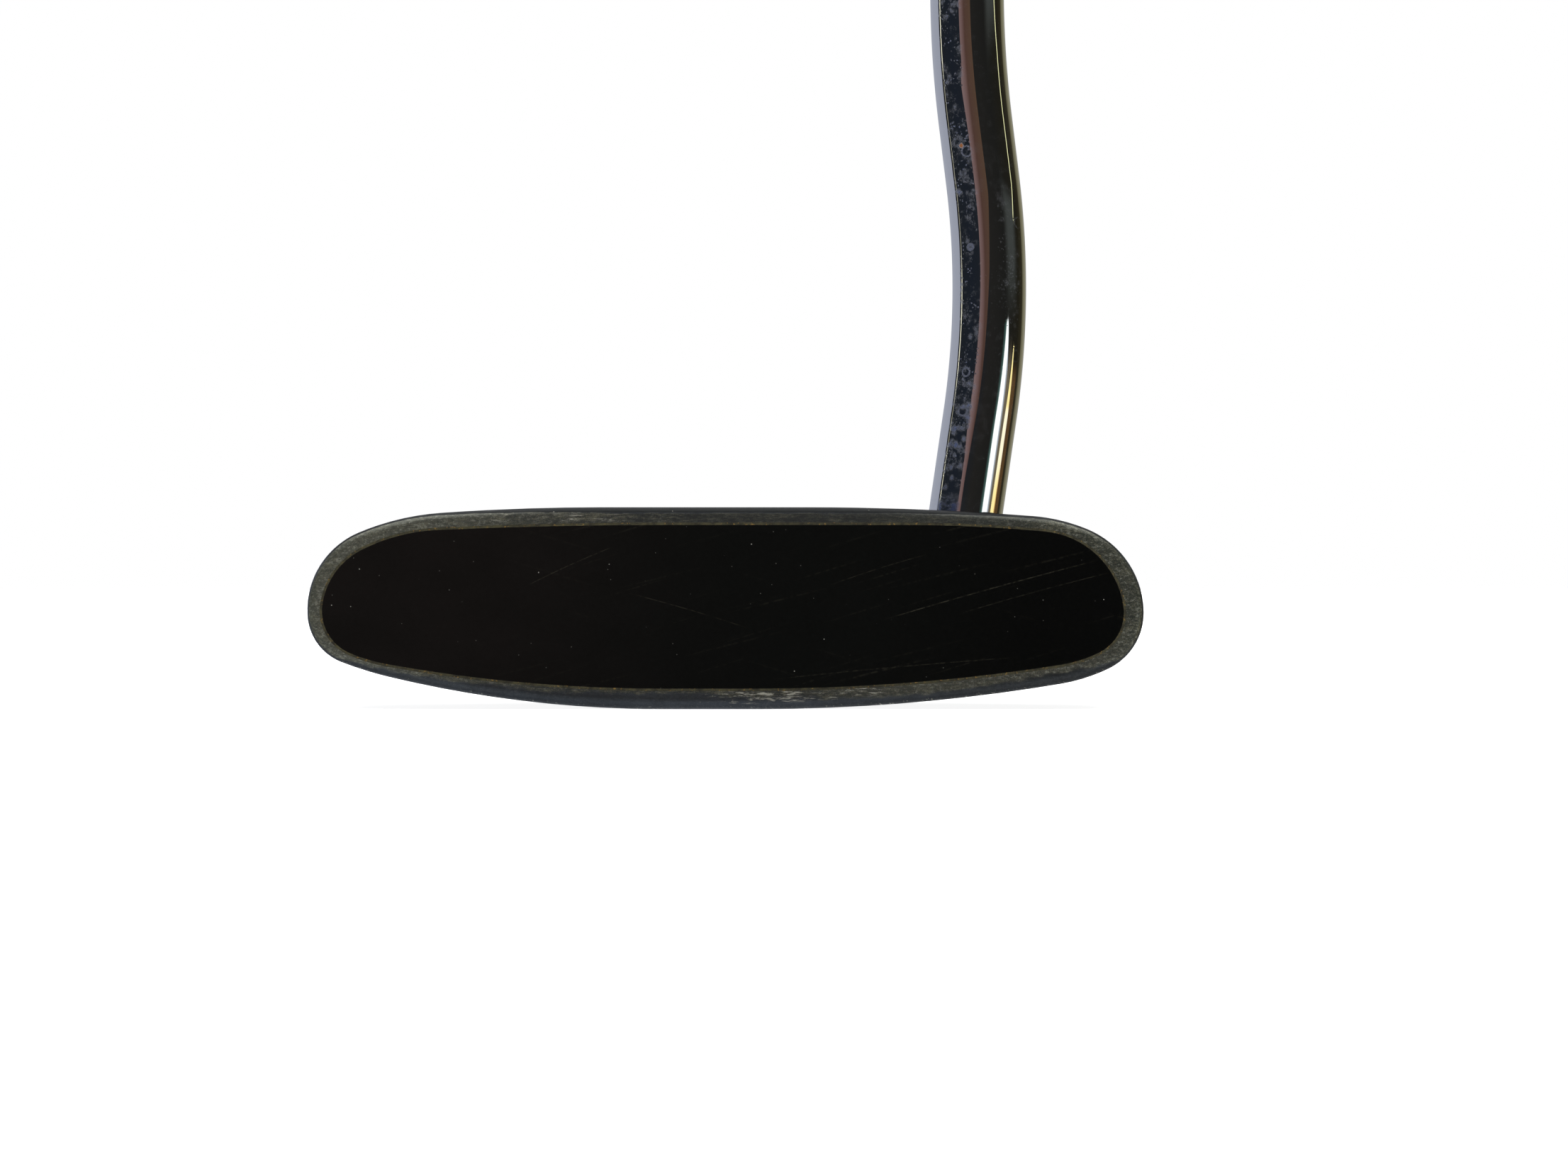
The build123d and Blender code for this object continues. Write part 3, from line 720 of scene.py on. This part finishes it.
def board(name, corners, material):
    """A flat piece of the studio between corners in metres, with its material."""
    mesh = bpy.data.meshes.new(name)
    mesh.from_pydata(corners, [], [tuple(range(len(corners)))])
    mesh.materials.append(material)
    made = bpy.data.objects.new(name, mesh)
    bpy.context.scene.collection.objects.link(made)
    return made


def brown_glow():
    """Glows of itself: pinkish at its toe side, and brown from the middle across."""
    finish = Finish("brown_card")
    x = finish.axes()[0]
    across = x.maths("MULTIPLY_ADD", x, 1 / 430, 0.80)
    colour = finish.node("ShaderNodeValToRGB", {"stops": [
        (0.0, tint(128, 106, 104)), (0.3, tint(112, 88, 84)),
        (0.5, tint(84, 62, 54)), (1.0, tint(88, 68, 54))]}, {0: across})
    glow = finish.node("ShaderNodeEmission", None, {"Color": colour, "Strength": 1.0})
    finish.node("ShaderNodeOutputMaterial", None, {"Surface": glow})
    return finish.material


def white_paper():
    """Evenly lit paper: its own faint glow keeps the shadow under the sole very soft."""
    return Finish("white_paper").shade(
        Base_Color=(0.7, 0.7, 0.7, 1), Roughness=0.9, Specular_IOR_Level=0.1,
        Emission_Color=(1, 1, 1, 1), Emission_Strength=0.9)


# The card's corners, across and up: only the chrome sees it
card = board("brown_card", [(across, CARD_PLACE, up) for across, up in (
    (-0.200, 0.000), (-0.200, 0.067), (-0.195, 0.089), (-0.095, 0.099), (0.000, 0.112),
    (0.110, 0.142), (0.085, 0.185), (0.085, 0.700), (-0.310, 0.700), (-0.320, 0.165),
    (-0.420, 0.148), (-0.325, 0.118), (-0.345, 0.000),
)], brown_glow())
card.visible_camera = card.visible_diffuse = card.visible_shadow = False
floor = board("floor", [(across * FLOOR_REACH, back * FLOOR_REACH, 0) for across, back in (
    (-1, -1), (1, -1), (1, 1), (-1, 1))], white_paper())
floor.visible_glossy = False

world = bpy.data.worlds.new("studio")
bpy.context.scene.world = world
world.use_nodes = True
room = Finish("studio", world.node_tree)
ray = room.node("ShaderNodeTexCoord", output="Generated")
east, north, up = (
    room.node("ShaderNodeSeparateXYZ", inputs={0: ray}, output=i) for i in range(3))
# Degrees round from where the face looks, growing towards the heel, and over the horizon
bearing = east.maths("ARCTAN2", east, 0 - north) * (180 / np.pi)
rise = up.maths("ARCSINE", up) * (180 / np.pi)


def at(bearing_degrees):
    """A bearing as a place on the ramp round the room."""
    return 0.5 + bearing_degrees / 360


around = bearing.maths("MULTIPLY_ADD", bearing, 1 / 360, 0.5)
walls = room.node("ShaderNodeValToRGB", {"stops": [
    (at(-180), tint(170, 174, 186)), (at(-107), tint(162, 166, 178)),
    (at(-105.2), tint(12, 12, 14)), (at(-101.5), tint(6, 6, 8)),
    (at(-95), tint(31, 35, 40)), (at(-60), tint(29, 34, 42)),
    (at(-34), tint(31, 35, 41)), (at(3), tint(36, 35, 33)),
    (at(48), tint(31, 31, 29)), (at(101), tint(34, 32, 24)),
    (at(121), tint(50, 46, 32)), (at(127), tint(110, 106, 82)),
    (at(145), tint(142, 138, 114)), (at(180), tint(170, 172, 172)),
]}, {0: around})
haze = bearing.within(72, 6, 20) * rise.ramp(2, 9) * rise.ramp(13, 11)
walls = room.blend(haze, walls, tint(66, 69, 66))
# A lamp and its warm shade low on the heel side, which only the lowest bend looks down to
drop = 3.2 - rise
inside = bearing - 56.5 + (drop & 6) * 1.5
lamp = inside.ramp(-11, 0) * (61 + ((drop * 2.2) & 10) - bearing).ramp(-1, 1)
lamp_tone = room.blend(inside.ramp(-2, 2), (0.07, 0.14, 0.12, 1), (1.5, 1.55, 1.5, 1))
lamp_tone = room.blend(bearing.ramp(62, 67), lamp_tone, (0.40, 0.43, 0.46, 1))
walls = room.blend(lamp * drop.ramp(0, 0.4), walls, lamp_tone)
# Brown furniture under it, and a gilt edge that leans outwards as it goes down
drop = 0.9 - rise
walls = room.blend(bearing.within(99, 9, 5) * drop.ramp(1, 3), walls, (0.11, 0.06, 0.024, 1))
walls = room.blend(bearing.within(75, 4, 3) * drop.ramp(-1, 3), walls, (0.17, 0.14, 0.09, 1))
gold = (bearing - 86.5 + drop * 1.2).ramp(-1, 1) * (88.6 + drop * 0.85 - bearing).ramp(-1, 1)
gold_tone = room.blend(bearing.ramp(89, 94), (1.30, 1.08, 0.45, 1), (0.60, 0.32, 0.08, 1))
gold_tone = room.blend(drop.within(5.8, 0.4, 0.8) * 0.7, gold_tone, (1.3, 1.25, 1.0, 1))
walls = room.blend(gold * drop.ramp(0, 0.4), walls, gold_tone)
# A thin line of light high on the heel side, and one on the toe side at any height
off_line = bearing - ((rise * 3 + 55.5) & 94.5)
heel_line = off_line.within(0, 1.0, 0.6) * rise.ramp(10.2, 10.9)
walls = room.blend(heel_line, walls, (1.1, 1.08, 0.58, 1))
toe_line = bearing.within(-98.8, 0.9, 0.6) * (0.3 + 0.7 * rise.within(7.5, 2, 2))
walls = room.blend(toe_line, walls, (1.3, 1.25, 0.95, 1))
# Under the horizon, behind the club and overhead
ground = room.node("ShaderNodeValToRGB", {"stops": [
    (at(-180), (0.50, 0.52, 0.56, 1)), (at(-128), (0.34, 0.35, 0.38, 1)),
    (at(-96), (0.03, 0.03, 0.04, 1)), (at(-52), (0.06, 0.07, 0.09, 1)),
    (at(-24), (0.36, 0.38, 0.42, 1)), (at(20), (0.60, 0.62, 0.66, 1)),
    (at(46), (0.10, 0.10, 0.12, 1)), (at(88), (0.02, 0.02, 0.02, 1)),
    (at(118), (0.36, 0.36, 0.34, 1)), (at(180), (0.50, 0.52, 0.54, 1)),
]}, {0: around})
walls = room.blend(rise.ramp(-9, -24), walls, ground)
behind = north.ramp(-0.1, 0.6)
walls = room.blend(rise.ramp(12, 55) * behind, walls, (0.62, 0.64, 0.68, 1))
walls = room.blend(rise.ramp(48, 62), walls, (2.8, 2.8, 2.75, 1))
# White where it is looked at straight, as paper behind the club would be
seen = room.node("ShaderNodeLightPath", output="Is Camera Ray")
walls = room.blend(seen, walls, (1.0, 1.0, 1.0, 1))
back = room.node("ShaderNodeBackground", None, {"Color": walls, "Strength": 1.0})
room.node("ShaderNodeOutputWorld", None, {"Surface": back})

# ---------------------------------------------------------------------------------------
# Camera: level with the middle of the face and square to it, a short way off. It takes in
# the head and the shaft's first two bends.
STANDS_OFF, LEVEL, ACROSS = 409 * MM, 15.1 * MM, 9.3 * MM
camera_data = bpy.data.cameras.new("camera")
camera = bpy.data.objects.new("camera", camera_data)
bpy.context.scene.collection.objects.link(camera)
camera_data.sensor_width, camera_data.lens = 36.0, 73.75
camera_data.clip_start = 0.01
camera.location = (ACROSS, -STANDS_OFF, LEVEL)
camera.rotation_euler = (radians(90), 0, 0)
bpy.context.scene.camera = camera
bpy.context.scene.view_settings.view_transform = "Standard"
